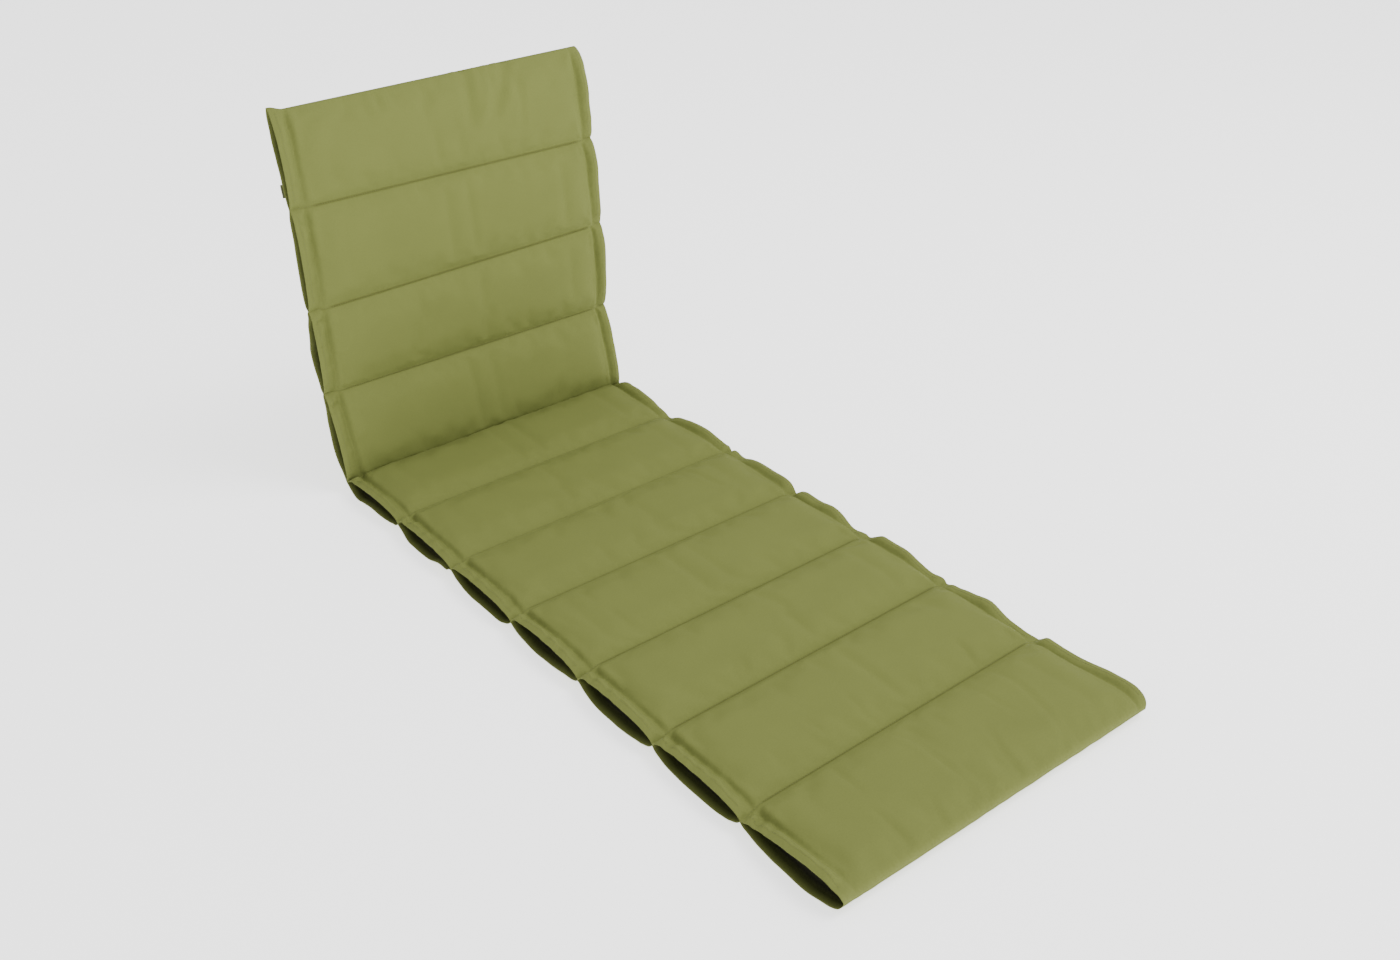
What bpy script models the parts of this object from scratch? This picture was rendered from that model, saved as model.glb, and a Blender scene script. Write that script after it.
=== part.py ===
"""Sun lounger cushion: one long quilted pad, its seat lying flat and its back raised.

Two plies of outdoor cloth are sewn together by cross seams into filled channels. The
filling stops short of both long sides, so each channel ends in an open, hemmed sleeve
mouth. The head and foot ends are folds of the same cloth. A short band end is sewn to
the rear, beside the left hem.

Units are metres, +Z is up, the foot points to -Y and the face that is lain on points up
and forward. The model is centred over its own footprint and its underside lies on Z = 0.
"""

import math
from collections import namedtuple

import bmesh
import bpy
from mathutils import Vector

# Driving dimensions
WIDTH = 0.600
SEAM_HEIGHT = 0.020
SEAM_HALF = 0.0015
PLY = 0.0014
SEAM_LIFT = 0.0085
HEAD_FOLD_HALF = 0.0060
FOOT_FOLD_HALF = 0.0130
FOLD_SLOPE = 2.0
FOLD_REACH = 0.060
POCKET_GAP = 0.0022
FILLING_BULGE = 0.019
SEAM_SLOPE = 1.50
HINGE_SLOPE = 0.90
CLEARANCE = 0.0003

# Channels from head to foot. The lean is measured from upright, so 90 lies flat. The
# crown is how far the face stands above the seams' ends at the hem, the sag how far the
# rear ply hangs below them.
Channel = namedtuple("Channel", "name length lean crown sag")
CHANNELS = (
    Channel("head", 0.165, 10.4, 0.0180, 0.0170),
    Channel("shoulder", 0.171, 5.7, 0.0165, 0.0175),
    Channel("back", 0.163, 1.8, 0.0165, 0.0190),
    Channel("lumbar", 0.171, 13.0, 0.0160, 0.0200),
    Channel("hip", 0.180, 90.0, 0.0190, 0.0225),
    Channel("thigh", 0.182, 90.0, 0.0195, 0.0225),
    Channel("above_knee", 0.185, 90.0, 0.0190, 0.0225),
    Channel("knee", 0.183, 90.0, 0.0200, 0.0225),
    Channel("calf", 0.179, 90.0, 0.0210, 0.0225),
    Channel("ankle", 0.187, 90.0, 0.0195, 0.0225),
    Channel("foot", 0.191, 90.0, 0.0205, 0.0225),
)
HINGE = 4

# How much nearer the head each seam's right end lies than its left end, fold to fold.
SEAM_SKEW = (0.009, 0.001, 0.014, 0.001, 0.001, 0.002, 0.001, -0.003, -0.002, 0.002, 0.001, -0.0115)

# How far each seam's end reaches past half the width on the left and the right, fold to fold
LEFT_REACH = (0.000, 0.003, 0.0065, 0.006, 0.005, 0.000, 0.000, 0.000, 0.000, 0.000, 0.000, 0.000)
RIGHT_REACH = (0.006, 0.003, 0.006, 0.002, 0.004, -0.003, 0.004, -0.003, -0.003, -0.0035, -0.005, 0.002)
REACH_START = 0.150

# Sections across the pad, from a hem inwards. Each height is a share of the crown or sag,
# and the lift is the share of SEAM_LIFT by which the seams rise above their own ends.
Line = namedtuple("Line", "place inset face rear lift")
SIDE_LINES = (
    Line("hem", 0.000, 0.94, 0.93, 0.0),
    Line("sleeve", 0.011, 1.00, 0.98, 0.0),
    Line("sleeve end", 0.022, 0.88, 0.95, 0.0),
    Line("trough", 0.029, 0.76, 0.95, 0.55),
    Line("shoulder", 0.037, 1.02, 1.00, 0.90),
    Line("panel side", 0.070, 1.12, 1.06, 1.0),
    Line("panel", 0.160, 1.15, 1.09, 1.0),
    Line("middle", 0.300, 1.16, 1.10, 1.0),
)
POCKET_LINES = 3

# Stations along a channel, as shares of its length, and the arch exponents.
STATIONS = (0.000, 0.035, 0.110, 0.220, 0.360, 0.640, 0.780, 0.890, 0.965)
SLEEVE_ROUND = 2.2
PANEL_ROUND = 6.0
FOLD_ROUND = 5.0

# Corners that are drawn in: side is -1 left and 1 right, end is 0 head and 1 foot.
Corner = namedtuple("Corner", "side end inset reach")
CORNERS = (
    Corner(1, 0, 0.006, 0.045),
    Corner(-1, 1, 0.008, 0.070),
    Corner(1, 1, 0.012, 0.045),
)
CORNER_FADE = 0.060

# Band end, sewn to the rear of the head channel beside the left hem
BAND_REACH = 0.003
BAND_SEWN = 0.029
BAND_THICK = 0.0024
BAND_TOP = 0.730
BAND_BOTTOM = 0.880
BAND_ROWS = 5

OLIVE = (0.262, 0.282, 0.098, 1.0)
BAND_GREEN = (0.110, 0.120, 0.060, 1.0)


def along(channel):
    """Direction from head to foot along a channel."""
    lean = math.radians(channel.lean)
    return Vector((0.0, -math.sin(lean), -math.cos(lean)))


def facing(channel):
    """Direction in which a channel's face looks."""
    lean = math.radians(channel.lean)
    return Vector((0.0, -math.cos(lean), math.sin(lean)))


def seam_points():
    """Middle of each seam and fold, head first, with the hinge seam over Y = 0."""
    points = [None] * (len(CHANNELS) + 1)
    points[HINGE] = Vector((0.0, 0.0, SEAM_HEIGHT))
    for index in range(HINGE, len(CHANNELS)):
        points[index + 1] = points[index] + along(CHANNELS[index]) * CHANNELS[index].length
    for index in range(HINGE - 1, -1, -1):
        points[index] = points[index + 1] - along(CHANNELS[index]) * CHANNELS[index].length
    return points


SEAMS = seam_points()


def seam_facing(index):
    """Face direction at a seam, midway between the two channels that meet there."""
    above = facing(CHANNELS[max(index - 1, 0)])
    below = facing(CHANNELS[min(index, len(CHANNELS) - 1)])
    return (above + below).normalized()


def seam_at(index, x):
    """Point of a seam at a place across the width, with the seam's skew."""
    channel = CHANNELS[min(index, len(CHANNELS) - 1)]
    return SEAMS[index] - along(channel) * (SEAM_SKEW[index] * x / WIDTH)


def drawn_in(x, index, share):
    """Place across the width after the hems are let out and the corners are drawn in."""
    reach = LEFT_REACH if x < 0.0 else RIGHT_REACH
    let_out = reach[index] + (reach[index + 1] - reach[index]) * share
    beyond = max(0.0, abs(x) - REACH_START) / (WIDTH / 2 - REACH_START)
    x += math.copysign(1.0, x) * let_out * beyond
    distance = (CHANNELS[0].length * share, CHANNELS[-1].length * (1.0 - share))
    for corner in CORNERS:
        end_channel = 0 if corner.end == 0 else len(CHANNELS) - 1
        beside = x * corner.side > WIDTH / 2 - CORNER_FADE
        if index != end_channel or not beside or distance[corner.end] > corner.reach:
            continue
        turn = 1.0 - distance[corner.end] / corner.reach
        curve = 1.0 - math.sqrt(max(0.0, 1.0 - turn * turn))
        fade = (x * corner.side - WIDTH / 2 + CORNER_FADE) / CORNER_FADE
        x -= corner.side * corner.inset * curve * fade
    return x


def place(index, share, x, offset):
    """Point of the pad: channel, share of its length, place across, offset to the face."""
    inner = drawn_in(x, index, share)
    point = seam_at(index, x).lerp(seam_at(index + 1, x), share)
    if share == 0.0:
        normal = seam_facing(index)
    elif share == 1.0:
        normal = seam_facing(index + 1)
    else:
        normal = facing(CHANNELS[index])
    return Vector((inner, 0.0, 0.0)) + point + normal * offset


def arch(share, first, last):
    """Height of the arch between two seams, 0 at a seam and 1 halfway."""
    exponent = first if share < 0.5 else last
    return math.sqrt(max(0.0, 1.0 - abs(2.0 * share - 1.0) ** exponent))


def lift(index, share, line):
    """Rise of the seams' level inside the panel, fading out at the head and foot folds."""
    rise = SEAM_LIFT * line.lift
    if index == 0:
        rise *= min(1.0, share * CHANNELS[0].length / FOLD_REACH)
    if index == len(CHANNELS) - 1:
        rise *= min(1.0, (1.0 - share) * CHANNELS[-1].length / FOLD_REACH)
    return rise


def least_stand(index, share):
    """Least that a ply stands off the seams' level: more at a fold than at a seam."""
    if index == 0 and share == 0.0:
        return HEAD_FOLD_HALF
    if index == len(CHANNELS) - 1 and share == 1.0:
        return FOOT_FOLD_HALF
    return SEAM_HALF


def rise_limit(index, share):
    """Most that a ply may stand off the seams this near to one of them."""
    length = CHANNELS[index].length
    slopes = (HINGE_SLOPE if index == HINGE else SEAM_SLOPE,
              HINGE_SLOPE if index + 1 == HINGE else SEAM_SLOPE)
    limits = [SEAM_HALF + slopes[0] * share * length,
              SEAM_HALF + slopes[1] * (1.0 - share) * length]
    if index == 0:
        limits[0] = HEAD_FOLD_HALF + FOLD_SLOPE * share * length
    if index == len(CHANNELS) - 1:
        limits[1] = FOOT_FOLD_HALF + FOLD_SLOPE * (1.0 - share) * length
    return min(limits)


def rounding(index, inset):
    """Arch exponents at a channel's two ends, at a distance in from the hem."""
    usual = SLEEVE_ROUND if inset < SIDE_LINES[POCKET_LINES].inset else PANEL_ROUND
    first = usual
    last = FOLD_ROUND if index == len(CHANNELS) - 1 else usual
    return first, last


def stand_off(index, share, line, height):
    """Distance of a ply of this full height from the seams' level, held in near a seam."""
    arched = height * arch(share, *rounding(index, line.inset))
    return max(least_stand(index, share), min(arched, rise_limit(index, share)))


def face_offset(index, share, line):
    """Offset of the face ply from the line between a seam's two ends."""
    rise = lift(index, share, line)
    return rise + stand_off(index, share, line, CHANNELS[index].crown * line.face - rise)


def rear_offset(index, share, line):
    """Offset of the rear ply, negative, and flat where the seat lies on its surface."""
    rise = lift(index, share, line)
    depth = stand_off(index, share, line, CHANNELS[index].sag * line.rear + rise) - rise
    if index >= HINGE:
        depth = min(depth, SEAM_HEIGHT)
    return -depth


def across_lines():
    """Lines across the whole width: each place across and the section line it follows."""
    left = [(line.inset - WIDTH / 2, line) for line in SIDE_LINES]
    right = [(WIDTH / 2 - line.inset, line) for line in reversed(SIDE_LINES[:-1])]
    return left + right


def all_rows():
    """Stations of the whole pad as channel and share, head fold to foot fold."""
    rows = [(index, share) for index in range(len(CHANNELS)) for share in STATIONS]
    return rows + [(len(CHANNELS) - 1, 1.0)]


def add_skins(mesh, rows, lines):
    """Face and rear plies as two grids of points, joined by the head and foot folds."""
    face = [[mesh.verts.new(place(i, s, x, face_offset(i, s, line))) for x, line in lines] for i, s in rows]
    rear = [[mesh.verts.new(place(i, s, x, rear_offset(i, s, line))) for x, line in lines] for i, s in rows]
    for row in range(len(rows) - 1):
        for col in range(len(lines) - 1):
            mesh.faces.new((face[row][col], face[row][col + 1], face[row + 1][col + 1], face[row + 1][col]))
            mesh.faces.new((rear[row][col], rear[row + 1][col], rear[row + 1][col + 1], rear[row][col + 1]))
    for row in (0, len(rows) - 1):
        for col in range(len(lines) - 1):
            mesh.faces.new((face[row][col], face[row][col + 1], rear[row][col + 1], rear[row][col]))
    return face, rear


def pocket_row(mesh, index, share, side):
    """Inside of an open sleeve at one station: upper ply, filling end, lower ply."""
    lines = SIDE_LINES[:POCKET_LINES]
    upper = [place(index, share, side * (WIDTH / 2 - line.inset), face_offset(index, share, line) - PLY)
             for line in lines]
    lower = [place(index, share, side * (WIDTH / 2 - line.inset), rear_offset(index, share, line) + PLY)
             for line in reversed(lines)]
    end = place(index, share, side * (WIDTH / 2 - FILLING_BULGE), 0.0)
    return [mesh.verts.new(point) for point in upper + [end] + lower]


def pocket_end(mesh, index, share, side):
    """Line on which a sleeve closes, just short of its seam."""
    insets = [line.inset for line in SIDE_LINES[:POCKET_LINES]]
    line = [mesh.verts.new(place(index, share, side * (WIDTH / 2 - inset), 0.0)) for inset in insets]
    return line + [line[-1]] + line[::-1]


def add_strip(mesh, first, second):
    """Faces between two rows of points, where points of one row may coincide."""
    for a, b, c, d in zip(first, first[1:], second[1:], second):
        corners = []
        for vert in (a, b, c, d):
            if vert not in corners:
                corners.append(vert)
        if len(corners) > 2:
            mesh.faces.new(corners)


def add_sleeve(mesh, face, rear, index, side):
    """Open sleeve mouth of one channel on one side, with its hem edge."""
    col = 0 if side < 0 else -1
    length = CHANNELS[index].length
    first_row = index * len(STATIONS)
    inner_shares = STATIONS[1:]
    rows = [pocket_end(mesh, index, POCKET_GAP / length, side)]
    rows += [pocket_row(mesh, index, share, side) for share in inner_shares]
    rows.append(pocket_end(mesh, index, 1.0 - POCKET_GAP / length, side))
    for first, second in zip(rows, rows[1:]):
        add_strip(mesh, first, second)
    for step, (first, second) in enumerate(zip(rows, rows[1:])):
        near = first_row + step
        near_face, near_rear = face[near][col], rear[near][col]
        far_face, far_rear = face[near + 1][col], rear[near + 1][col]
        add_strip(mesh, [near_face, first[0]], [far_face, second[0]])
        add_strip(mesh, [near_rear, first[-1]], [far_rear, second[-1]])
    seam_face, seam_rear = face[first_row][col], rear[first_row][col]
    mesh.faces.new((seam_face, rows[0][0], seam_rear))
    seam_face, seam_rear = face[first_row + len(STATIONS)][col], rear[first_row + len(STATIONS)][col]
    mesh.faces.new((seam_face, rows[-1][0], seam_rear))


def finish(name, mesh, colour, roughness):
    """Object of a finished mesh, with outward faces and its own material."""
    bmesh.ops.recalc_face_normals(mesh, faces=mesh.faces)
    if mesh.calc_volume(signed=True) < 0.0:
        bmesh.ops.reverse_faces(mesh, faces=mesh.faces)
    bmesh.ops.triangulate(mesh, faces=mesh.faces)
    data = bpy.data.meshes.new(name)
    mesh.to_mesh(data)
    mesh.free()
    data.shade_smooth()
    material = bpy.data.materials.new(name)
    material.use_nodes = True
    shader = material.node_tree.nodes["Principled BSDF"]
    shader.inputs["Base Color"].default_value = colour
    shader.inputs["Roughness"].default_value = roughness
    shader.inputs["Metallic"].default_value = 0.0
    data.materials.append(material)
    obj = bpy.data.objects.new(name, data)
    bpy.context.scene.collection.objects.link(obj)
    return obj


def build_cushion():
    """The whole pad: both plies, its filling, seams, folds and open sleeves, in one solid."""
    mesh = bmesh.new()
    rows = all_rows()
    lines = across_lines()
    face, rear = add_skins(mesh, rows, lines)
    for index in range(len(CHANNELS)):
        for side in (-1, 1):
            add_sleeve(mesh, face, rear, index, side)
    return finish("cushion", mesh, OLIVE, 0.85)


def band_point(share, inset, depth):
    """Point on the band end: depth is how far behind the cushion's rear ply it lies."""
    line = min(SIDE_LINES, key=lambda each: abs(each.inset - max(inset, 0.0)))
    offset = rear_offset(0, share, line) - depth
    return place(0, share, inset - WIDTH / 2, offset)


def build_band_end():
    """Short end of a flat band that stands out past the left hem, behind the pad."""
    mesh = bmesh.new()
    insets = (-BAND_REACH, 0.0, SIDE_LINES[1].inset, BAND_SEWN)
    shares = [BAND_TOP + (BAND_BOTTOM - BAND_TOP) * step / (BAND_ROWS - 1) for step in range(BAND_ROWS)]
    loops = []
    for share in shares:
        near = [mesh.verts.new(band_point(share, inset, CLEARANCE)) for inset in insets]
        far = [mesh.verts.new(band_point(share, inset, CLEARANCE + BAND_THICK)) for inset in reversed(insets)]
        loops.append(near + far)
    for first, second in zip(loops, loops[1:]):
        add_strip(mesh, first + first[:1], second + second[:1])
    mesh.faces.new(loops[0])
    mesh.faces.new(loops[-1])
    return finish("band_end", mesh, BAND_GREEN, 0.8)


def centre_on_footprint(objects):
    """Move the objects so that the origin lies under the middle of their common box."""
    points = [vert.co for obj in objects for vert in obj.data.vertices]
    middle_x = (min(p.x for p in points) + max(p.x for p in points)) / 2
    middle_y = (min(p.y for p in points) + max(p.y for p in points)) / 2
    for obj in objects:
        obj.location = (-middle_x, -middle_y, 0.0)


def main():
    """Clear the scene and build the two pieces."""
    for obj in list(bpy.data.objects):
        bpy.data.objects.remove(obj, do_unlink=True)
    centre_on_footprint([build_cushion(), build_band_end()])


main()
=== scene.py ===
"""Dressed model of a quilted sun lounger cushion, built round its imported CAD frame.

The pad is one piece: a face ply and a rear ply of woven outdoor cloth, sewn together by
cross seams into filled channels that end in open, hemmed sleeves along both sides.
Lengths are metres and places are in the CAD frame.
"""

from __future__ import annotations

import logging
import math
from dataclasses import dataclass, field
from enum import Enum
from typing import Callable

import bmesh
import bpy
import numpy as np
from mathutils import Matrix, Vector, noise
from mathutils.bvhtree import BVHTree


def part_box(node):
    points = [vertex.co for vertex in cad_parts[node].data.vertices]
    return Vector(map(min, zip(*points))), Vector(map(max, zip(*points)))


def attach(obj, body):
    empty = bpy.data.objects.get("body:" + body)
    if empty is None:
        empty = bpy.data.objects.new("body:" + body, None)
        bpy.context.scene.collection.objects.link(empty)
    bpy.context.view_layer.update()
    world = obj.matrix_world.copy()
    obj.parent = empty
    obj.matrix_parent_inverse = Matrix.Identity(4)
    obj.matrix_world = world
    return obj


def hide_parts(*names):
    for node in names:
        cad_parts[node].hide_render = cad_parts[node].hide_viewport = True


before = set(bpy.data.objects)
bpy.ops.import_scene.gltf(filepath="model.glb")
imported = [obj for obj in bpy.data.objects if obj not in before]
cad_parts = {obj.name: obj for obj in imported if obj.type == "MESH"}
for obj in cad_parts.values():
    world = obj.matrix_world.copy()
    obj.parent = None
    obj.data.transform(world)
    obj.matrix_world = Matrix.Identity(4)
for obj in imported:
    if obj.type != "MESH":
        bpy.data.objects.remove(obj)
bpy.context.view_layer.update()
log = logging.getLogger("lounger_pad")

Point = tuple[float, float]


class Side(Enum):
    """Long sides of the pad, as seen from its foot end."""

    LEFT = -1
    RIGHT = 1


class Ply(Enum):
    """The two cloths of the pad, by the sign of their offset from the seams."""

    FACE = 1
    REAR = -1


@dataclass(frozen=True)
class Channel:
    """One filled channel between two cross seams.

    Args:
        name: Part of the body that lies on it.
        length: Seam to seam.
        lean: Degrees from upright; 90 lies flat.
        crown: Height of the filled face over the seams.
        left: Height of the left sleeve's lip over the seams.
        right: Height of the right sleeve's lip over the seams.
        sag: Depth of the rear ply under the seams.
    """

    name: str
    length: float
    lean: float
    crown: float
    left: float
    right: float
    sag: float

    def along(self) -> Vector:
        """Direction from head to foot."""
        lean = math.radians(self.lean)
        return Vector((0.0, -math.sin(lean), -math.cos(lean)))

    def facing(self) -> Vector:
        """Direction in which the face ply looks."""
        lean = math.radians(self.lean)
        return Vector((0.0, -math.cos(lean), math.sin(lean)))


CHANNELS = (
    Channel("head", 0.165, 10.4, 0.0190, 0.0165, 0.0175, 0.0150),
    Channel("shoulder", 0.171, 5.7, 0.0190, 0.0160, 0.0175, 0.0175),
    Channel("back", 0.163, 1.8, 0.0190, 0.0160, 0.0180, 0.0205),
    Channel("lumbar", 0.171, 13.0, 0.0190, 0.0150, 0.0150, 0.0225),
    Channel("hip", 0.180, 90.0, 0.0205, 0.0200, 0.0220, 0.0225),
    Channel("thigh", 0.182, 90.0, 0.0210, 0.0195, 0.0225, 0.0225),
    Channel("above_knee", 0.185, 90.0, 0.0210, 0.0185, 0.0200, 0.0225),
    Channel("knee", 0.183, 90.0, 0.0215, 0.0225, 0.0190, 0.0225),
    Channel("calf", 0.179, 90.0, 0.0220, 0.0240, 0.0205, 0.0225),
    Channel("ankle", 0.187, 90.0, 0.0215, 0.0205, 0.0190, 0.0225),
    Channel("foot", 0.191, 90.0, 0.0205, 0.0250, 0.0130, 0.0225),
)
HINGE = 4
LAST = len(CHANNELS) - 1
SEAM_SKEW = (0.009, 0.001, 0.014, 0.001, 0.001, 0.002, 0.001, -0.003, -0.002, 0.002, 0.001, -0.0115)
LEFT_REACH = (0.0, 0.003, 0.0065, 0.006, 0.005, 0.0, 0.0, 0.0, 0.0, 0.0, 0.0, 0.0)
RIGHT_REACH = (0.006, 0.005, 0.006, 0.002, 0.004, -0.003, 0.004, -0.003, -0.003, -0.0035, -0.005, 0.002)
LEFT_SWELL = (0.0, 0.0, 0.001, 0.0, 0.0015, 0.0022, 0.0014, 0.0005, 0.0026, 0.0014, 0.0020)
HEM_LOBES = (0.0, 0.4, 0.5, 0.6, 0.9, 1.2, 1.3, 1.0, 0.8, 0.9, 1.1)
HEM_PUCKERS = (
    (0.060, 0.0008), (0.130, 0.0007), (0.195, 0.0010), (0.290, 0.0006), (0.360, 0.0011), (0.440, 0.0007),
    (0.528, 0.0012), (0.600, 0.0008), (0.702, 0.0014), (0.770, 0.0010), (0.876, 0.0014), (0.926, 0.0014),
    (0.952, 0.0012), (0.986, 0.0016), (1.020, 0.0008), (1.098, 0.0017), (1.140, 0.0010), (1.190, 0.0007),
    (1.240, 0.0010), (1.306, 0.0015), (1.338, 0.0013), (1.372, 0.0009), (1.428, 0.0016), (1.462, 0.0012),
    (1.492, 0.0014), (1.536, 0.0008), (1.606, 0.0016), (1.636, 0.0013), (1.662, 0.0010), (1.691, 0.0013),
    (1.730, 0.0008), (1.792, 0.0014), (1.816, 0.0013), (1.858, 0.0008), (1.905, 0.0007))
# Strength of the painted shade along each cross seam, from the head fold to the foot fold.
PAINTED_SEAM_SHADE = (0.0, 0.85, 0.90, 0.95, 0.50, 0.16, 0.24, 0.55, 0.72, 0.85, 0.85, 0.0)


@dataclass(frozen=True)
class Crease:
    """A soft trough or ridge, placed in the flat cloth.

    Args:
        points: Places across from the left hem and along from the head fold.
        width: Distance from its line at which it has nearly faded.
        height: Positive for a ridge, negative for a trough.
    """

    points: tuple[Point, ...]
    width: float
    height: float

    def rise(self, flat: np.ndarray) -> np.ndarray:
        """Rise of the cloth at each flat place, with a low swell beside a trough."""
        ends = np.array(self.points)
        steps = np.diff(ends, axis=0)
        lengths = np.linalg.norm(steps, axis=1)
        nearest = np.full(len(flat), 1.0)
        share = np.zeros(len(flat))
        walked = 0.0
        for start, step, length in zip(ends[:-1], steps, lengths):
            along = np.clip((flat - start) @ step / length ** 2, 0.0, 1.0)
            gap = np.linalg.norm(flat - start - along[:, None] * step, axis=1)
            closer = gap < nearest
            nearest = np.where(closer, gap, nearest)
            share = np.where(closer, (walked + along * length) / lengths.sum(), share)
            walked += length
        t = nearest / self.width
        profile = np.exp(-4.0 * t * t) - 0.40 * np.exp(-((t - 1.05) / 0.45) ** 2)
        taper = np.clip(4.0 * share * (1.0 - share), 0.0, 1.0) ** 0.6
        return self.height * profile * taper


CREASES = (
    Crease(((0.362, -0.012), (0.358, 0.040), (0.351, 0.098)), 0.020, -0.0056),
    Crease(((0.404, -0.006), (0.392, 0.045), (0.378, 0.088)), 0.013, 0.0028),
    Crease(((0.452, -0.012), (0.425, 0.040), (0.398, 0.090)), 0.018, -0.0048),
    Crease(((0.462, 0.030), (0.458, 0.070), (0.452, 0.115)), 0.013, -0.0016),
    Crease(((0.186, 0.004), (0.188, 0.040)), 0.013, -0.0026),
    Crease(((0.254, 1.770), (0.266, 1.826), (0.264, 1.881), (0.260, 1.948)), 0.0090, -0.0018),
    Crease(((0.148, 1.772), (0.144, 1.814), (0.138, 1.855)), 0.0085, -0.0015),
    Crease(((0.414, 1.772), (0.414, 1.828), (0.418, 1.872)), 0.0085, -0.0013),
    Crease(((0.466, 1.770), (0.468, 1.835), (0.452, 1.890), (0.436, 1.938), (0.414, 1.956)), 0.0090, -0.0017),
    Crease(((0.366, 1.855), (0.342, 1.912), (0.336, 1.956)), 0.0085, -0.0017),
    Crease(((0.206, 1.900), (0.188, 1.954)), 0.0085, -0.0014),
    Crease(((0.130, 1.875), (0.132, 1.950)), 0.0085, -0.0017),
    Crease(((0.262, 1.685), (0.254, 1.736), (0.258, 1.764)), 0.0090, -0.0015),
    Crease(((0.180, 1.692), (0.183, 1.740)), 0.0085, -0.0013),
    Crease(((0.476, 1.700), (0.462, 1.762)), 0.0090, -0.0017),
    Crease(((0.102, 1.710), (0.094, 1.745)), 0.0085, -0.0013),
    Crease(((0.472, 1.045), (0.480, 1.090), (0.488, 1.145)), 0.010, -0.0015),
    Crease(((0.112, 1.235), (0.118, 1.290)), 0.010, -0.0013),
    Crease(((0.120, 1.312), (0.124, 1.370)), 0.010, -0.0013),
    Crease(((0.204, 1.530), (0.186, 1.570)), 0.0090, -0.0014),
    Crease(((0.050, 1.275), (0.062, 1.345)), 0.0085, -0.0014),
)


LIP_PLACES = (0.0, 0.035, 0.08, 0.20, 0.35, 0.50, 0.65, 0.80, 0.92, 0.97, 1.0)


@dataclass(frozen=True)
class Lip:
    """Heights of one sleeve's hem over the seams, read at LIP_PLACES along it.

    Args:
        index: Channel.
        side: Long side of the pad.
        ply: Upper or lower hem.
        heights: Height at each place, in millimetres.
    """

    index: int
    side: Side
    ply: Ply
    heights: tuple[float, ...]

    def height(self, share: float) -> float:
        """Height in metres at a share of the channel's length."""
        return 0.001 * smooth_table(tuple(zip(LIP_PLACES, self.heights)), share)


LIPS = {(lip.index, lip.side, lip.ply): lip for lip in (
    Lip(0, Side.RIGHT, Ply.FACE, (0.0, 6.5, 11.0, 17.5, 20.5, 20.5, 17.5, 16.0, 11.0, 6.5, 1.4)),
    Lip(1, Side.RIGHT, Ply.FACE, (1.4, 7.5, 12.0, 17.0, 18.5, 15.5, 13.5, 11.0, 7.0, 4.5, 1.4)),
    Lip(2, Side.RIGHT, Ply.FACE, (1.4, 6.5, 10.2, 17.5, 18.0, 18.0, 17.4, 14.8, 10.2, 6.4, 1.4)),
    Lip(4, Side.RIGHT, Ply.FACE, (1.4, 7.5, 12.6, 20.8, 21.7, 20.5, 19.8, 11.5, 8.0, 4.0, 1.4)),
    Lip(5, Side.RIGHT, Ply.FACE, (1.4, 1.8, 5.7, 16.2, 20.5, 22.0, 21.5, 15.0, 10.0, 12.0, 1.4)),
    Lip(6, Side.RIGHT, Ply.FACE, (1.4, 8.0, 9.2, 5.8, 14.8, 19.0, 19.8, 21.2, 19.0, 11.0, 1.4)),
    Lip(7, Side.RIGHT, Ply.FACE, (1.4, 3.0, 13.3, 18.5, 15.2, 21.0, 16.0, -1.5, 3.0, 4.5, 1.4)),
    Lip(8, Side.RIGHT, Ply.FACE, (1.4, 3.1, 9.0, 20.8, 20.7, 20.7, 13.6, 5.6, 8.5, 8.0, 1.4)),
    Lip(9, Side.RIGHT, Ply.FACE, (1.4, 3.0, 7.4, 11.0, 15.9, 21.0, 8.0, 3.4, 1.5, 2.0, 1.4)),
    Lip(10, Side.RIGHT, Ply.FACE, (1.4, 7.0, 15.0, 13.9, 11.8, 13.8, 18.0, 17.4, 15.3, 9.0, 0.5)),
    Lip(10, Side.LEFT, Ply.FACE, (1.4, 3.0, 7.5, 14.5, 21.5, 25.5, 28.5, 28.0, 24.0, 18.0, 1.0)),
    Lip(0, Side.LEFT, Ply.REAR, (0.0, 3.0, 6.0, 9.5, 13.0, 10.5, 7.5, 6.5, 4.5, 3.0, 1.4)),
    Lip(1, Side.LEFT, Ply.REAR, (1.4, 3.5, 7.0, 8.0, 9.0, 9.5, 12.0, 11.0, 10.0, 8.0, 1.4)),
    Lip(2, Side.LEFT, Ply.REAR, (1.4, 6.5, 5.0, 13.0, 15.5, 23.5, 21.5, 14.0, 9.5, 8.0, 1.4)),
    Lip(3, Side.LEFT, Ply.REAR, (1.4, 5.5, 5.5, 9.5, 17.0, 21.0, 24.0, 16.5, 6.0, 3.0, 1.4)),
    Lip(4, Side.LEFT, Ply.REAR, (1.4, 5.0, 10.5, 20.0, 15.0, 13.0, 15.5, 13.5, 9.5, 8.0, 1.4)),
    Lip(5, Side.LEFT, Ply.REAR, (1.4, 5.5, 8.5, 21.5, 21.5, 20.5, 15.5, 7.5, 9.0, 2.0, 1.4)),
    Lip(6, Side.LEFT, Ply.REAR, (1.4, 4.0, 9.3, 17.5, 21.5, 20.0, 20.0, 21.0, 13.0, 9.0, 1.4)),
    Lip(7, Side.LEFT, Ply.REAR, (1.4, 6.0, 11.0, 15.0, 20.0, 19.5, 16.0, 12.5, 9.0, 6.0, 1.4)),
    Lip(8, Side.LEFT, Ply.REAR, (1.4, 3.5, 9.2, 17.5, 21.0, 21.0, 21.0, 15.2, 12.0, 7.5, 1.4)),
    Lip(10, Side.LEFT, Ply.REAR, (1.4, 6.5, 9.4, 13.7, 17.5, 19.5, 21.0, 18.0, 16.5, 13.5, 1.0)),
)}


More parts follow.
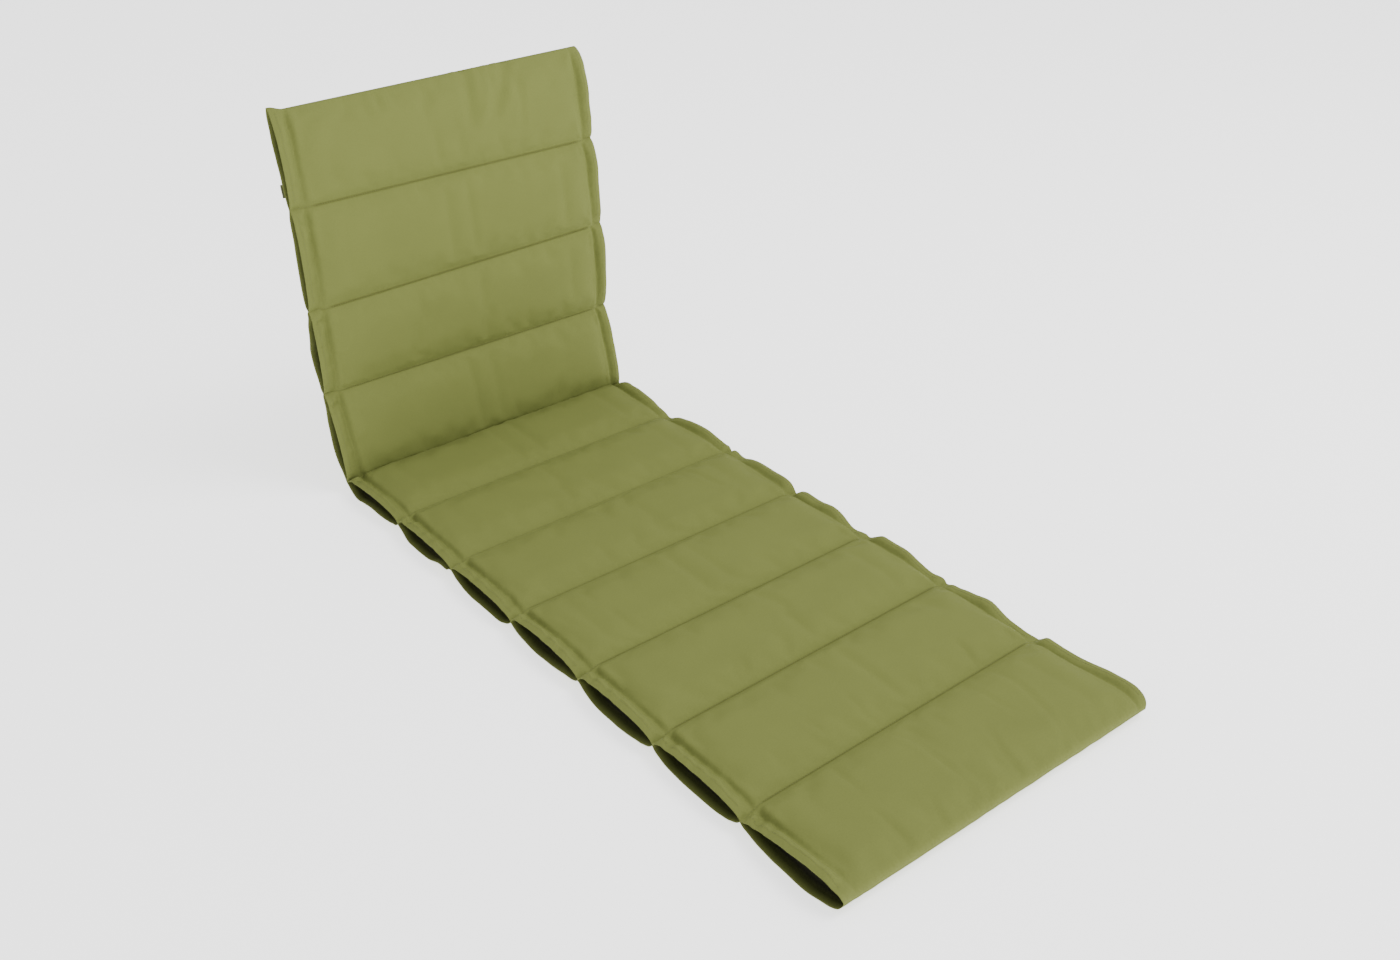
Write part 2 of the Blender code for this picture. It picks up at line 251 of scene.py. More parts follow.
def smooth_table(table: tuple[Point, ...], place: float) -> float:
    """Value of a smooth curve through a short table.

    Args:
        table: Places and values, places rising.
        place: Where to read the curve.

    Returns:
        The value there, constant beyond both ends.
    """
    if place <= table[0][0]:
        return table[0][1]
    if place >= table[-1][0]:
        return table[-1][1]
    spot = next(i for i in range(1, len(table)) if place <= table[i][0])
    before, after = table[spot - 1], table[spot]
    first, last = table[max(spot - 2, 0)], table[min(spot + 1, len(table) - 1)]
    span = after[0] - before[0]
    rise_in = (after[1] - first[1]) / (after[0] - first[0])
    rise_out = (last[1] - before[1]) / (last[0] - before[0])
    t = (place - before[0]) / span
    blend = t * t * (3.0 - 2.0 * t)
    tangents = (t ** 3 - 2 * t * t + t) * rise_in + (t ** 3 - t * t) * rise_out
    return before[1] + (after[1] - before[1]) * blend + tangents * span


def ease(value: float, low: float, high: float) -> float:
    """Smooth step from 0 at low to 1 at high."""
    t = min(max((value - low) / (high - low), 0.0), 1.0)
    return t * t * (3.0 - 2.0 * t)


def least(values: tuple[float, ...], sharpness: float = 5.0) -> float:
    """Soft minimum of positive values."""
    return sum(v ** -sharpness for v in values) ** (-1.0 / sharpness)


@dataclass
class PadShape:
    """Form of the pad: where each point of each ply lies.

    Args:
        hinge: Middle of the hinge seam.
    """

    hinge: Vector
    width: float = 0.600
    seam_height: float = 0.020
    seam_half: float = 0.0014
    seam_lift: float = 0.0085
    ply: float = 0.0013
    seam_slope: float = 1.50
    hinge_slope: float = 0.95
    far_slope: float = 0.68
    head_fold: float = 0.0065
    foot_fold: float = 0.0165
    sleeve_round: float = 2.2
    panel_round: float = 7.0
    fold_round: float = 6.0
    left_filling: float = 0.0248
    right_filling: float = 0.0215
    left_shoulder: float = 0.0092
    right_shoulder: float = 0.0060
    ripple: float = 0.0019
    swell: float = 0.0032
    hem_set_back: float = 0.0006
    lobe_rise: float = 0.0052
    stray: float = 0.0020
    trough_fill: float = 0.16
    pulled_in: float = 0.0040
    sleeve_section: tuple[Point, ...] = (
        (0.0, 0.92), (0.005, 1.0), (0.011, 1.03), (0.016, 0.94), (0.020, 0.76), (0.0240, 0.43), (0.034, 0.38))
    left_sleeve_section: tuple[Point, ...] = (
        (0.0, 0.84), (0.004, 0.95), (0.009, 1.06), (0.014, 1.02), (0.019, 0.80), (0.0240, 0.42), (0.034, 0.38))
    panel_section: tuple[Point, ...] = ((0.0, 0.92), (0.008, 0.98), (0.020, 1.02), (0.050, 1.05), (0.270, 1.08))
    rear_section: tuple[Point, ...] = (
        (0.0, 0.93), (0.012, 0.98), (0.0285, 0.93), (0.045, 1.04), (0.080, 1.08), (0.300, 1.10))
    corners: tuple[tuple[int, int, float, float], ...] = (
        (1, 0, 0.006, 0.045), (-1, LAST, 0.008, 0.070), (1, LAST, 0.012, 0.045))
    lean_back: float = 0.005
    corner_rise: float = 0.006
    seams: list[Vector] = field(default_factory=list)

    def __post_init__(self) -> None:
        """Place the seams and folds, head first."""
        points = [self.hinge.copy() for _ in range(len(CHANNELS) + 1)]
        for index in range(HINGE, len(CHANNELS)):
            points[index + 1] = points[index] + CHANNELS[index].along() * CHANNELS[index].length
        for index in range(HINGE - 1, -1, -1):
            points[index] = points[index + 1] - CHANNELS[index].along() * CHANNELS[index].length
        self.seams = points

    def seam_at(self, index: int, x: float) -> Vector:
        """Point of a seam at a place across, with the seam's skew."""
        channel = CHANNELS[min(index, LAST)]
        return self.seams[index] - channel.along() * (SEAM_SKEW[index] * x / self.width)

    def facing_at(self, index: int, share: float) -> Vector:
        """Face direction, turning to the next channel's just at a seam."""
        own = CHANNELS[index].facing()
        if share == 0.0:
            return (own + CHANNELS[max(index - 1, 0)].facing()).normalized()
        if share == 1.0:
            return (own + CHANNELS[min(index + 1, LAST)].facing()).normalized()
        return own

    def slump(self) -> float:
        """How much lower the panels start when the simulation is going to swell them."""
        return self.swell

    def filling(self, x: float) -> float:
        """Distance from the nearer hem to the usual end of the filling."""
        return self.left_filling if x < 0.0 else self.right_filling

    def wander(self, index: int, share: float, x: float) -> float:
        """How far inwards the filling's end strays from its usual place."""
        run = self.run(index, share)
        side = 1.0 if x < 0.0 else 9.0
        stray = noise.noise(Vector((run * 14.0, side, 0.5))) + 0.6 * noise.noise(Vector((run * 37.0, side, 2.5)))
        near = share * CHANNELS[index].length
        pulled = math.exp(-near / 0.014) if index > 0 else 0.0
        return self.stray * stray + self.pulled_in * pulled

    def lift(self, index: int, share: float, x: float) -> float:
        """Height of the sewn line inside the panel over the line between its two ends."""
        inset = self.width / 2 - abs(x)
        rise = self.seam_lift * ease(inset, 0.012, self.filling(x) + 0.012)
        distance = CHANNELS[index].length
        if index == 0:
            rise *= ease(share * distance, 0.0, 0.060)
        if index == LAST:
            rise *= ease((1.0 - share) * distance, 0.0, 0.060)
        return rise

    def sleeve_height(self, index: int, share: float, x: float, ply: Ply) -> float:
        """Height of an open sleeve's cloth from the seams' level, at the hem."""
        channel = CHANNELS[index]
        side = Side.LEFT if x < 0.0 else Side.RIGHT
        lip = LIPS.get((index, side, ply))
        run = self.run(index, share)
        deep = 22.0 * (self.width / 2 - abs(x))
        wave = noise.noise(Vector((run * 34.0, 3.0 * side.value + deep, 5.0 * ply.value)))
        wave += 0.7 * noise.noise(Vector((run * 75.0, 7.0 * side.value + deep, 2.0 * ply.value)))
        wave *= self.ripple * min(1.0, 10.0 * share, 10.0 * (1.0 - share))
        if side is Side.LEFT and ply is Ply.FACE:
            wave *= 0.35 + 0.65 * ease(self.width / 2 + x, 0.0, 0.010)
        if lip is not None:
            return lip.height(share) + wave + self.lobe(index, share, x, ply)
        usual = channel.sag if ply is Ply.REAR else (channel.left if x < 0.0 else channel.right)
        exponent = self.fold_round if index == LAST and share > 0.5 else self.sleeve_round
        arch = usual * math.sqrt(max(0.0, 1.0 - abs(2.0 * share - 1.0) ** exponent))
        return arch + wave + self.lobe(index, share, x, ply)

    def lobe(self, index: int, share: float, x: float, ply: Ply) -> float:
        """Small scallop of the left upper hem just past a seam, and the pinch that ends it."""
        if x > 0.0 or ply is Ply.REAR:
            return 0.0
        near = share * CHANNELS[index].length
        bump = math.exp(-((near - 0.0125) / 0.0070) ** 2) - 0.8 * math.exp(-((near - 0.0245) / 0.0040) ** 2)
        inset = self.width / 2 + x
        fade = ease(inset, 0.001, 0.009) * (1.0 - ease(inset, 0.014, 0.027))
        return self.lobe_rise * HEM_LOBES[index] * bump * fade * min(1.0, near / 0.004)

    def stand_off(self, index: int, share: float, x: float, ply: Ply) -> float:
        """Height of a ply over the seams' level; the rear ply's is negative.

        Args:
            index: Channel, counted from the head.
            share: Share of the channel's length.
            x: Place across.
            ply: Which cloth.
        """
        channel = CHANNELS[index]
        lift = self.lift(index, share, x) * ply.value
        near, far = share * channel.length, (1.0 - share) * channel.length
        inset = self.width / 2 - abs(x)
        end = self.filling(x)
        inset -= self.wander(index, share, x) * ease(inset, 0.012, end) * (1.0 - ease(inset, end + 0.02, end + 0.05))
        panel = ease(inset, end - 0.001, end - 0.001 + (self.left_shoulder if x < 0.0 else self.right_shoulder))
        sleeve = self.sleeve_height(index, share, x, ply)
        full = math.sqrt(max(0.0, 1.0 - abs(2.0 * share - 1.0) ** self.panel_round))
        if ply is Ply.FACE:
            section = self.left_sleeve_section if x < 0.0 else self.sleeve_section
            dip = smooth_table(section, inset * self.left_filling / end)
            dip += self.trough_fill * ease(share, 0.15, 0.85) * ease(inset, 0.018, end)
            height = sleeve * dip * (1.0 - panel)
            crown = channel.crown - self.slump()
            height += crown * smooth_table(self.panel_section, max(inset - end, 0.0)) * full * panel
        else:
            sag = channel.sag - (self.slump() if index < HINGE else 0.0)
            height = sag * full * panel + sleeve * (1.0 - panel)
            height *= smooth_table(self.rear_section, inset)
        limits = [max(height - lift, 0.0) + 1e-6]
        for distance, seam in ((near, index), (far, index + 1)):
            if seam in (0, len(CHANNELS)):
                fold = self.head_fold if seam == 0 else self.foot_fold
                inside = max(0.0, fold - distance)
                limits.append(math.sqrt(fold * fold - inside * inside) + max(0.0, distance - fold) + 1e-6)
            else:
                slope = self.hinge_slope if seam == HINGE else self.seam_slope
                if ply is Ply.FACE and index < seam != HINGE:
                    slope += (self.far_slope - slope) * panel
                limits.append(self.seam_half + slope * distance)
        offset = least(tuple(limits))
        if share in (0.0, 1.0):
            outer = (share == 0.0 and index == 0) or (share == 1.0 and index == LAST)
            offset = 0.0 if outer else self.seam_half
        offset += lift
        if ply is Ply.REAR and index >= HINGE:
            offset = min(self.on_floor(offset), self.seam_height)
        return ply.value * offset

    def on_floor(self, depth: float) -> float:
        """Depth under the seams after the floor has flattened the cloth softly."""
        shift = 0.020
        return least((depth + shift, self.seam_height + 0.0003 + shift), 40.0) - shift

    def drawn_in(self, x: float, index: int, share: float) -> float:
        """Place across after the hems are let out or drawn in and the corners are rounded."""
        reach = LEFT_REACH if x < 0.0 else RIGHT_REACH
        out = reach[index] + (reach[index + 1] - reach[index]) * ease(share, 0.0, 1.0)
        if x < 0.0:
            out += LEFT_SWELL[index] * 4.0 * share * (1.0 - share)
        x += out * ease(abs(x), 0.15, 0.29) * (-1.0 if x < 0.0 else 1.0)
        for side, end_channel, inset, length in self.corners:
            distance = CHANNELS[index].length * (share if end_channel == 0 else 1.0 - share)
            fade = (x * side - self.width / 2 + 0.06) / 0.06
            if index != end_channel or fade <= 0.0 or distance > length:
                continue
            turn = 1.0 - distance / length
            x -= side * inset * (1.0 - math.sqrt(max(0.0, 1.0 - turn * turn))) * fade
        return x

    def point(self, index: int, share: float, x: float, offset: float) -> Vector:
        """Point at a place across and along, offset to the face side."""
        base = self.seam_at(index, x).lerp(self.seam_at(index + 1, x), share)
        across = Vector((self.drawn_in(x, index, share), 0.0, 0.0))
        if index > 0 and x < 0.0 and offset > 0.0:
            near = share * CHANNELS[index].length
            back = math.exp(-((near - 0.015) / 0.009) ** 2) * (1.0 - ease(self.width / 2 + x, 0.004, 0.024))
            across.x += self.hem_set_back * HEM_LOBES[index] * back * min(1.0, offset / 0.010)
        if index == 0 and x < 0.0:
            flap = 1.0 - ease(self.width / 2 + x, 0.004, self.left_filling)
            flap *= 1.0 - ease(share, 0.0, 0.45)
            offset -= self.lean_back * flap
            base -= CHANNELS[0].along() * (self.corner_rise * flap)
        return across + base + self.facing_at(index, share) * offset

    def ply_point(self, index: int, share: float, x: float, ply: Ply, inward: float = 0.0) -> Vector:
        """Point of a ply's outer side, or that far inside it."""
        own = self.stand_off(index, share, x, ply)
        if inward > 0.0:
            other = self.stand_off(index, share, x, Ply.REAR if ply is Ply.FACE else Ply.FACE)
            middle = (own + other) / 2
            own = max(own - inward, middle) if ply is Ply.FACE else min(own + inward, middle)
        return self.point(index, share, x, own)

    def run(self, index: int, share: float) -> float:
        """Distance along the flat cloth from the head fold."""
        return sum(c.length for c in CHANNELS[:index]) + share * CHANNELS[index].length


def clear_selection() -> None:
    """Deselect everything, so that the next operator acts on its own object alone."""
    bpy.ops.object.select_all(action="DESELECT")


def grid_sheet(name: str, columns: int, rows: int, place: Callable, flat: Callable, spot: Callable) -> bpy.types.Object:
    """Add a primitive grid and lay it out point by point.

    Args:
        name: Object name.
        columns: Cells across.
        rows: Cells along.
        place: Function of column and row that gives a Vector.
        flat: Function of column and row that gives the UV place.
        spot: Function of column and row that gives across, along and which ply.

    Returns:
        The new object, at the origin.
    """
    clear_selection()
    bpy.ops.mesh.primitive_grid_add(x_subdivisions=columns, y_subdivisions=rows, size=1.0, location=(0, 0, 0))
    sheet = bpy.context.object
    sheet.name = name
    mesh = sheet.data
    cells = [(round((v.co.x + 0.5) * columns), round((v.co.y + 0.5) * rows)) for v in mesh.vertices]
    for vert, cell in zip(mesh.vertices, cells):
        vert.co = place(*cell)
    layer = mesh.uv_layers[0]
    layer.name = "flat"
    for loop in mesh.loops:
        layer.data[loop.index].uv = flat(*cells[loop.vertex_index])
    spots = mesh.attributes.new("spot", "FLOAT_VECTOR", "POINT")
    for index, cell in enumerate(cells):
        spots.data[index].vector = spot(*cell)
    return sheet


@dataclass
class Cushion:
    """The whole pad: two plies, sleeves and folds, filled, creased and dressed."""

    shape: PadShape
    side_insets: tuple[float, ...] = (
        0.0, 0.003, 0.008, 0.013, 0.018, 0.0215, 0.0245, 0.0275, 0.031, 0.036, 0.043, 0.055, 0.070)
    middle_cells: int = 40
    seam_distances: tuple[float, ...] = (
        0.0, 0.0020, 0.0045, 0.0085, 0.013, 0.018, 0.0235, 0.029, 0.036, 0.045, 0.056, 0.068, 0.079)
    sleeve_insets: tuple[float, ...] = (0.0, 0.005, 0.010, 0.015, 0.0195)
    sleeve_end: float = 0.0180
    closing: float = 0.0022
    uv_rear: float = 0.8
    uv_sleeve: float = 1.6
    sim_frames: int = 20
    pressure: float = 4.0
    slack: float = 0.015
    cap: float = 0.005
    uneven: float = 0.0010
    pucker: float = 0.0008
    seam_shade_half: float = 0.0040
    flap_line: float = 0.20
    pinch: float = 0.0016
    pucker_gain: float = 2.0
    pucker_width: float = 0.0125

    def across(self) -> list[float]:
        """Places across the pad, from the left hem to the right."""
        half = self.shape.width / 2
        left = [inset - half for inset in self.side_insets]
        span = -2.0 * left[-1]
        middle = [left[-1] + span * step / self.middle_cells for step in range(1, self.middle_cells)]
        return left + middle + [-x for x in reversed(left)]

    def stations(self, index: int) -> list[float]:
        """Shares of a channel's length at which the cloth has points, without its end."""
        length = CHANNELS[index].length
        near = [d / length for d in self.seam_distances]
        return near + [0.5] + [1.0 - share for share in reversed(near[1:])]

    def rows(self) -> list[tuple[int, float]]:
        """Channel and share of every row of points, head fold to foot fold."""
        rows = [(index, share) for index in range(len(CHANNELS)) for share in self.stations(index)]
        return rows + [(LAST, 1.0)]

    def ply_sheet(self, ply: Ply) -> bpy.types.Object:
        """One ply as a sheet of points on the pad's form."""
        xs, rows = self.across(), self.rows()
        offset = 0.0 if ply is Ply.FACE else self.uv_rear

        def place(column: int, row: int) -> Vector:
            return self.shape.ply_point(*rows[row], xs[column], ply)

        def flat(column: int, row: int) -> Point:
            return xs[column] + self.shape.width / 2 + offset, self.shape.run(*rows[row])

        def spot(column: int, row: int) -> tuple[float, float, float]:
            level = 0.5 if column in (0, len(xs) - 1) else 1.0
            level = 0.0 if row in (0, len(rows) - 1) else level
            return xs[column] + self.shape.width / 2, self.shape.run(*rows[row]), level * ply.value

        return grid_sheet(f"{ply.name.lower()}_ply", len(xs) - 1, len(rows) - 1, place, flat, spot)

    def sleeve_sheet(self, index: int, side: Side) -> bpy.types.Object:
        """Inside of one open sleeve: upper ply, end of the filling, lower ply."""
        length = CHANNELS[index].length
        shares = self.stations(index) + [1.0]
        insets = self.sleeve_insets
        half = self.shape.width / 2
        path = [(0.0, Ply.FACE, 0.0)] + [(inset, Ply.FACE, self.shape.ply) for inset in insets]
        path += [(self.sleeve_end, None, 0.0)]
        path += [(inset, Ply.REAR, self.shape.ply) for inset in reversed(insets)] + [(0.0, Ply.REAR, 0.0)]
        walk = [0.0, 0.001, 0.007, 0.014, 0.021, 0.028, 0.048, 0.068, 0.075, 0.082, 0.089, 0.095, 0.096]

        def place(column: int, row: int) -> Vector:
            inset, ply, inward = path[column]
            x = side.value * (half - inset)
            share = shares[row]
            if share in (0.0, 1.0):
                if column in (0, len(path) - 1):
                    return self.shape.ply_point(index, share, x, ply)
                closed = share
                if inset > 0.0:
                    closed += (self.closing / length) * (1.0 if share == 0.0 else -1.0)
                return self.shape.point(index, closed, x, 0.0)
            if ply is None:
                upper = self.shape.stand_off(index, share, x, Ply.FACE)
                lower = self.shape.stand_off(index, share, x, Ply.REAR)
                return self.shape.point(index, share, x, (upper + lower) / 2)
            return self.shape.ply_point(index, share, x, ply, inward)

        def flat(column: int, row: int) -> Point:
            across = self.uv_sleeve + walk[column] + (0.2 if side is Side.RIGHT else 0.0)
            return across, self.shape.run(index, shares[row])

        def spot(column: int, row: int) -> tuple[float, float, float]:
            inset, ply, _ = path[column]
            level = 0.5 if column in (0, len(path) - 1) else 0.25
            across = inset if side is Side.LEFT else self.shape.width - inset
            return across, self.shape.run(index, shares[row]), 0.0 if ply is None else level * ply.value

        name = f"sleeve_{index}_{side.name.lower()}"
        return grid_sheet(name, len(path) - 1, len(shares) - 1, place, flat, spot)

    def join(self, parts: list[bpy.types.Object]) -> bpy.types.Object:
        """Weld the sheets into one closed pad with outward faces."""
        clear_selection()
        for part in parts:
            part.select_set(True)
        bpy.context.view_layer.objects.active = parts[0]
        bpy.ops.object.join()
        pad = bpy.context.object
        pad.name = "quilted_pad"
        bpy.ops.object.mode_set(mode="EDIT")
        bpy.ops.mesh.select_all(action="SELECT")
        bpy.ops.mesh.remove_doubles(threshold=0.00005)
        bpy.ops.mesh.normals_make_consistent(inside=False)
        bpy.ops.object.mode_set(mode="OBJECT")
        return pad

    def mark(self, pad: bpy.types.Object) -> None:
        """Write how deep inside a sleeve each point lies, for the painted shade inside the sleeves."""
        mesh = pad.data
        inside = mesh.attributes.new("inside", "FLOAT", "POINT")
        layer = mesh.uv_layers["flat"]
        for loop in mesh.loops:
            walk = layer.data[loop.index].uv[0] - self.uv_sleeve
            if walk < 0.0:
                continue
            walk -= 0.2 if walk > 0.15 else 0.0
            depth = min(walk, 0.096 - walk) / 0.048
            vertex = inside.data[loop.vertex_index]
            vertex.value = max(vertex.value, depth)

    def sharpen(self, pad: bpy.types.Object) -> None:
        """Keep the seams and hem edges crisp when the pad is subdivided."""
        mesh = pad.data
        creases = mesh.attributes.new("crease_edge", "FLOAT", "EDGE")
        layer = mesh.uv_layers["flat"]
        spots: dict[int, tuple[float, float]] = {}
        for loop in mesh.loops:
            u, v = layer.data[loop.index].uv
            if u < self.uv_sleeve:
                spots[loop.vertex_index] = (u if u < self.uv_rear else u - self.uv_rear, v)
        runs = [self.shape.run(index, 0.0) for index in range(1, len(CHANNELS))]
        for edge in mesh.edges:
            if not all(v in spots for v in edge.vertices):
                continue
            (ua, va), (ub, vb) = (spots[v] for v in edge.vertices)
            on_seam = abs(va - vb) < 1e-5 and any(abs(va - run) < 1e-5 for run in runs)
            on_hem = abs(ua - ub) < 1e-5 and (ua < 1e-5 or ua > self.shape.width - 1e-5)
            if on_seam or on_hem:
                creases.data[edge.index].value = 0.75

    def refine(self, pad: bpy.types.Object) -> None:
        """Subdivide once, smoothly."""
        modifier = pad.modifiers.new("smooth", "SUBSURF")
        modifier.levels = modifier.render_levels = 1
        clear_selection()
        pad.select_set(True)
        bpy.context.view_layer.objects.active = pad
        bpy.ops.object.modifier_apply(modifier=modifier.name)
        bpy.ops.object.shade_smooth()

    def spots(self, pad: bpy.types.Object) -> np.ndarray:
        """Across, along and ply of every point, one row each."""
        values = np.zeros(3 * len(pad.data.vertices))
        pad.data.attributes["spot"].data.foreach_get("vector", values)
        return values.reshape(-1, 3)

    def seam_gap(self, along: np.ndarray) -> np.ndarray:
        """Distance along the cloth to the nearest seam or fold."""
        runs = np.array([self.shape.run(index, 0.0) for index in range(len(CHANNELS))] + [self.shape.run(LAST, 1.0)])
        return np.abs(along[:, None] - runs[None, :]).min(axis=1)

    def panel_share(self, across: np.ndarray) -> np.ndarray:
        """0 on the flaps, rising to 1 just inside the ends of the filling."""
        left = (across - self.shape.left_filling - 0.004) / 0.016
        right = (self.shape.width - across - self.shape.right_filling - 0.004) / 0.016
        t = np.clip(np.minimum(left, right), 0.0, 1.0)
        return t * t * (3.0 - 2.0 * t)

    def billow(self, pad: bpy.types.Object) -> None:
        """Blow the filled panels up against their seams with a cloth simulation.

        The seams, the open sleeves and the part that rests stay pinned.
        """
        mesh = pad.data
        spots = self.spots(pad)
        loose = np.clip((self.seam_gap(spots[:, 1]) - 0.003) / 0.012, 0.0, 1.0)
        loose *= self.panel_share(spots[:, 0]) * (np.abs(spots[:, 2]) > 0.5)
        seat_run = self.shape.run(HINGE, 0.0)
        loose[(spots[:, 2] < -0.5) & (spots[:, 1] > seat_run - 0.02)] = 0.0
        held, blown = (pad.vertex_groups.new(name=name) for name in ("held", "blown"))
        for index, free in enumerate(loose):
            held.add([index], 1.0 - float(free), "REPLACE")
            blown.add([index], float(free), "REPLACE")
        before = np.zeros(3 * len(mesh.vertices))
        mesh.vertices.foreach_get("co", before)
        modifier = pad.modifiers.new("billow", "CLOTH")
        modifier.point_cache.frame_start = 1
        modifier.point_cache.frame_end = self.sim_frames
        settings = modifier.settings
        settings.quality = 5
        settings.mass = 0.15
        settings.use_pressure = True
        settings.uniform_pressure_force = self.pressure
        settings.vertex_group_mass = held.name
        settings.vertex_group_pressure = blown.name
        settings.shrink_min = -self.slack
        settings.bending_stiffness = 0.4
        settings.effector_weights.gravity = 0.0
        modifier.collision_settings.use_collision = False
        scene = bpy.context.scene
        for frame_number in range(1, self.sim_frames + 1):
            scene.frame_set(frame_number)
        blown_mesh = pad.evaluated_get(bpy.context.evaluated_depsgraph_get()).data
        after = np.zeros_like(before)
        blown_mesh.vertices.foreach_get("co", after)
        pad.modifiers.remove(modifier)
        scene.frame_set(1)
        move = (after - before).reshape(-1, 3) * (loose > 0.0)[:, None]
        far = np.linalg.norm(move, axis=1)
        log.info("cloth moved %.1f mm at most, %.1f mm on average", 1000 * far.max(), 1000 * far[loose > 0.5].mean())
        move *= (np.minimum(far, self.cap) / np.maximum(far, 1e-9))[:, None]
        mesh.vertices.foreach_set("co", before + move.ravel())
        mesh.update()
        for group in (held, blown):
            pad.vertex_groups.remove(group)

    def pinches(self) -> tuple[Crease, ...]:
        """Small hooked troughs where each cross seam meets the end of the filling."""
        made = []
        for index in range(1, len(CHANNELS)):
            seam = self.shape.run(index, 0.0)
            for hem, turn, end in ((0.0, 1.0, self.shape.left_filling), (self.shape.width, -1.0, self.shape.right_filling)):
                hook = ((end + 0.013, 0.002), (end + 0.003, 0.005), (end - 0.001, 0.013), (end, 0.027))
                points = tuple((hem + turn * across, seam + along) for across, along in hook)
                made.append(Crease(points, 0.0065, -self.pinch * (0.7 + 0.5 * math.sin(5.0 * index + turn))))
        return tuple(made)

    def hem_puckers(self) -> tuple[Crease, ...]:
        """Short troughs that cross the left flap from the filling's end out over the hem."""
        made = []
        for run, depth in HEM_PUCKERS:
            points = ((0.024, run - 0.006), (0.012, run + 0.001), (0.001, run + 0.008))
            made.append(Crease(points, self.pucker_width, -self.pucker_gain * depth))
        return tuple(made)

    def facings(self, along: np.ndarray) -> np.ndarray:
        """Face direction of the channel that each point lies in."""
        starts = np.array([self.shape.run(index, 0.0) for index in range(1, len(CHANNELS))])
        table = np.array([channel.facing()[:] for channel in CHANNELS])
        return table[np.searchsorted(starts, along)]

    def roughen(self, spots: np.ndarray, gap: np.ndarray, panel: np.ndarray) -> np.ndarray:
        """Rise of each point over the smooth form, outwards on its own ply."""
        face = np.clip(4.0 * spots[:, 2], 0.0, 1.0)
        either = np.clip(4.0 * np.abs(spots[:, 2]), 0.0, 1.0)
        rise = np.zeros(len(spots))
        for crease in CREASES + self.pinches() + self.hem_puckers():
            rise += crease.rise(spots[:, :2]) * face
        wide = np.array([noise.noise(Vector((u * 9.0, v * 15.0, 4.0 * p))) for u, v, p in spots])
        fine = np.array([noise.noise(Vector((u * 52.0 + v * 12.0, v * 9.0, 8.0 + p))) for u, v, p in spots])
        rise += self.uneven * wide * np.clip(gap / 0.03, 0.0, 1.0) * panel * either
        beside = np.clip(gap / 0.004, 0.0, 1.0) * np.exp(-(gap / 0.022) ** 2)
        return rise + self.pucker * fine * beside * panel * either

    def crumple(self, pad: bpy.types.Object) -> None:
        """Add creases, puckers and unevenness, and mark the painted shade along the sewn lines, and the flaps, for the
        finish.
        """
        mesh = pad.data
        spots = self.spots(pad)
        gap = self.seam_gap(spots[:, 1])
        panel = self.panel_share(spots[:, 0])
        rise = self.roughen(spots, gap, panel)
        points = np.zeros(3 * len(spots))
        normals = np.zeros(3 * len(spots))
        mesh.vertices.foreach_get("co", points)
        mesh.vertex_normals.foreach_get("vector", normals)
        points, normals = points.reshape(-1, 3), normals.reshape(-1, 3)
        rise *= np.where(spots[:, 2] < 0.0, np.clip((points[:, 2] - 0.001) / 0.008, 0.0, 1.0), 1.0)
        outward = normals * panel[:, None]
        outward += self.facings(spots[:, 1]) * (np.sign(spots[:, 2]) * (1.0 - panel))[:, None]
        mesh.vertices.foreach_set("co", (points + outward * rise[:, None]).ravel())
        runs = [self.shape.run(index, 0.0) for index in range(len(CHANNELS))] + [self.shape.run(LAST, 1.0)]
        outer = np.clip((np.abs(spots[:, 2]) - 0.3) / 0.2, 0.0, 1.0)
        # Painted shade along each sewn line, fading on the flaps and set seam by seam.
        line = np.clip(1.0 - gap / self.seam_shade_half, 0.0, 1.0) * (self.flap_line + (1.0 - self.flap_line) * panel)
        line *= np.interp(spots[:, 1], runs, PAINTED_SEAM_SHADE) * outer
        line[(spots[:, 1] < 0.05) | (spots[:, 1] > runs[-1] - 0.05)] = 0.0
        beside = np.exp(-(gap / 0.013) ** 2) * panel * outer
        for name, values in (("sewn", line), ("flap", (1.0 - panel) * outer), ("beside_seam", beside)):
            mesh.attributes.new(name, "FLOAT", "POINT").data.foreach_set("value", values)
        mesh.attributes.remove(mesh.attributes["spot"])
        mesh.update()

    def build(self) -> bpy.types.Object:
        """Make the pad's mesh."""
        parts = [self.ply_sheet(ply) for ply in Ply]
        parts += [self.sleeve_sheet(index, side) for index in range(len(CHANNELS)) for side in Side]
        pad = self.join(parts)
        self.mark(pad)
        self.sharpen(pad)
        self.billow(pad)
        self.refine(pad)
        self.crumple(pad)
        log.info("pad has %d faces", len(pad.data.polygons))
        return pad


